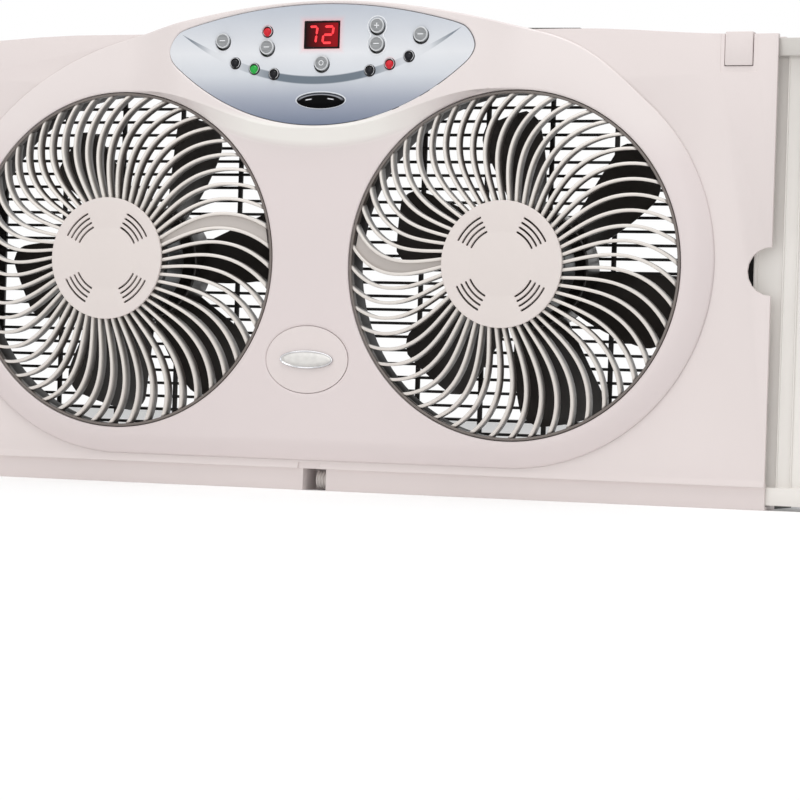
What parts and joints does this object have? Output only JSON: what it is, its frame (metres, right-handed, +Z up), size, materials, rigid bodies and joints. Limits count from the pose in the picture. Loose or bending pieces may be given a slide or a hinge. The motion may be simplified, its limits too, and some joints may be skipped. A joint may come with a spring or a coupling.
{
  "type": "window fan",
  "caption": "Twin window fan: two domed grilles with curved ribs in a wide casing, a control pod on top and a sliding extender panel at each end.",
  "frame": {"origin": "centre of the footprint, on the bottom of the casing", "axes": "+X to the right as seen from the room, along the width; +Y from the room side towards the outside; +Z up"},
  "size_m": [0.712, 0.108, 0.3258],
  "materials": {
    "housing": "fine satin, warm off-white",
    "bezel": "satin, warm white",
    "grille": "satin, warm light grey",
    "rear_shell": "satin black",
    "impeller": "semi-gloss near-black",
    "shroud": "satin dark brown-grey",
    "fascia": "satin silver-blue film, shaded darker to the top and bottom",
    "display": "gloss black window",
    "button": "satin grey",
    "led_off": "gloss, unlit",
    "led_red": "gloss, lit red",
    "led_green": "gloss, lit green",
    "badge": "polished, bare",
    "steel": "machined",
    "bronze": "sintered bronze",
    "board": "green lacquer"
  },
  "bodies": {
    "casing": {"front_housing": "housing", "front_bezel": "bezel", "badge_inset": "housing", "badge_plate": "badge", "control_fascia": "fascia", "display": "display", "ir_window": "display", "auto_indicator": "led_red", "low_speed_indicator": "led_off", "medium_speed_indicator": "led_green", "high_speed_indicator": "led_off", "air_in_indicator": "led_off", "air_out_indicator": "led_red", "air_exchange_indicator": "led_off", "control_board": "board", "left_front_grille": "grille", "left_lead_cover": "grille", "left_hub_cap": "bezel", "left_shroud_ring": "shroud", "right_front_grille": "grille", "right_lead_cover": "grille", "right_hub_cap": "bezel", "right_shroud_ring": "shroud", "left_motor_front_bell": "steel", "left_motor_stator": "steel", "left_motor_rear_bell": "steel", "left_motor_front_bearing": "bronze", "left_motor_rear_bearing": "bronze", "right_motor_front_bell": "steel", "right_motor_stator": "steel", "right_motor_rear_bell": "steel", "right_motor_front_bearing": "bronze", "right_motor_rear_bearing": "bronze", "left_run_capacitor": "rear_shell", "right_run_capacitor": "rear_shell", "rear_housing": "rear_shell", "rear_grille": "rear_shell", "left_lower_casing_screw": "steel", "left_upper_casing_screw": "steel", "right_lower_casing_screw": "steel", "right_upper_casing_screw": "steel", "cord_gland": "shroud"},
    "left_fan": {"left_motor_rotor": "steel", "left_motor_shaft": "steel", "left_impeller": "impeller", "left_impeller_nut": "rear_shell"},
    "right_fan": {"right_motor_rotor": "steel", "right_motor_shaft": "steel", "right_impeller": "impeller", "right_impeller_nut": "rear_shell"},
    "left_extender_panel": {"left_extender": "bezel"},
    "right_extender_panel": {"right_extender": "bezel"},
    "left_extender_lock": {"left_lock_tab": "housing"},
    "right_extender_lock": {"right_lock_tab": "housing"},
    "power_button_cap": {"power_button": "button"},
    "mode_button_cap": {"mode_button": "button"},
    "light_button_cap": {"light_button": "button"},
    "temperature_up_button_cap": {"temperature_up_button": "button"},
    "temperature_down_button_cap": {"temperature_down_button": "button"},
    "airflow_button_cap": {"airflow_button": "button"}
  },
  "joints": [
    {"name": "left_fan_spin", "type": "hinge", "parent": "casing", "child": "left_fan", "pos_m": [-0.142, 0, 0.152], "axis": [0, 1, 0], "continuous": true},
    {"name": "left_extender_slide", "type": "slide", "parent": "casing", "child": "left_extender_panel", "axis": [-1, 0, 0], "range_m": [-0.042, 0]},
    {"name": "left_lock_slide", "type": "slide", "parent": "casing", "child": "left_extender_lock", "axis": [0, 0, 1], "range_m": [0, 0.008]},
    {"name": "right_fan_spin", "type": "hinge", "parent": "casing", "child": "right_fan", "pos_m": [0.142, 0, 0.152], "axis": [0, 1, 0], "continuous": true},
    {"name": "right_extender_slide", "type": "slide", "parent": "casing", "child": "right_extender_panel", "axis": [1, 0, 0], "range_m": [-0.042, 0]},
    {"name": "right_lock_slide", "type": "slide", "parent": "casing", "child": "right_extender_lock", "axis": [0, 0, 1], "range_m": [0, 0.008]},
    {"name": "power_button_press", "type": "slide", "parent": "casing", "child": "power_button_cap", "axis": [0, 1, 0], "range_m": [0, 0.001], "stiffness_N_per_m": 1000},
    {"name": "mode_button_press", "type": "slide", "parent": "casing", "child": "mode_button_cap", "axis": [0, 1, 0], "range_m": [0, 0.001], "stiffness_N_per_m": 1000},
    {"name": "light_button_press", "type": "slide", "parent": "casing", "child": "light_button_cap", "axis": [0, 1, 0], "range_m": [0, 0.001], "stiffness_N_per_m": 1000},
    {"name": "temperature_up_button_press", "type": "slide", "parent": "casing", "child": "temperature_up_button_cap", "axis": [0, 1, 0], "range_m": [0, 0.001], "stiffness_N_per_m": 1000},
    {"name": "temperature_down_button_press", "type": "slide", "parent": "casing", "child": "temperature_down_button_cap", "axis": [0, 1, 0], "range_m": [0, 0.001], "stiffness_N_per_m": 1000},
    {"name": "airflow_button_press", "type": "slide", "parent": "casing", "child": "airflow_button_cap", "axis": [0, 1, 0], "range_m": [0, 0.001], "stiffness_N_per_m": 1000}
  ]
}
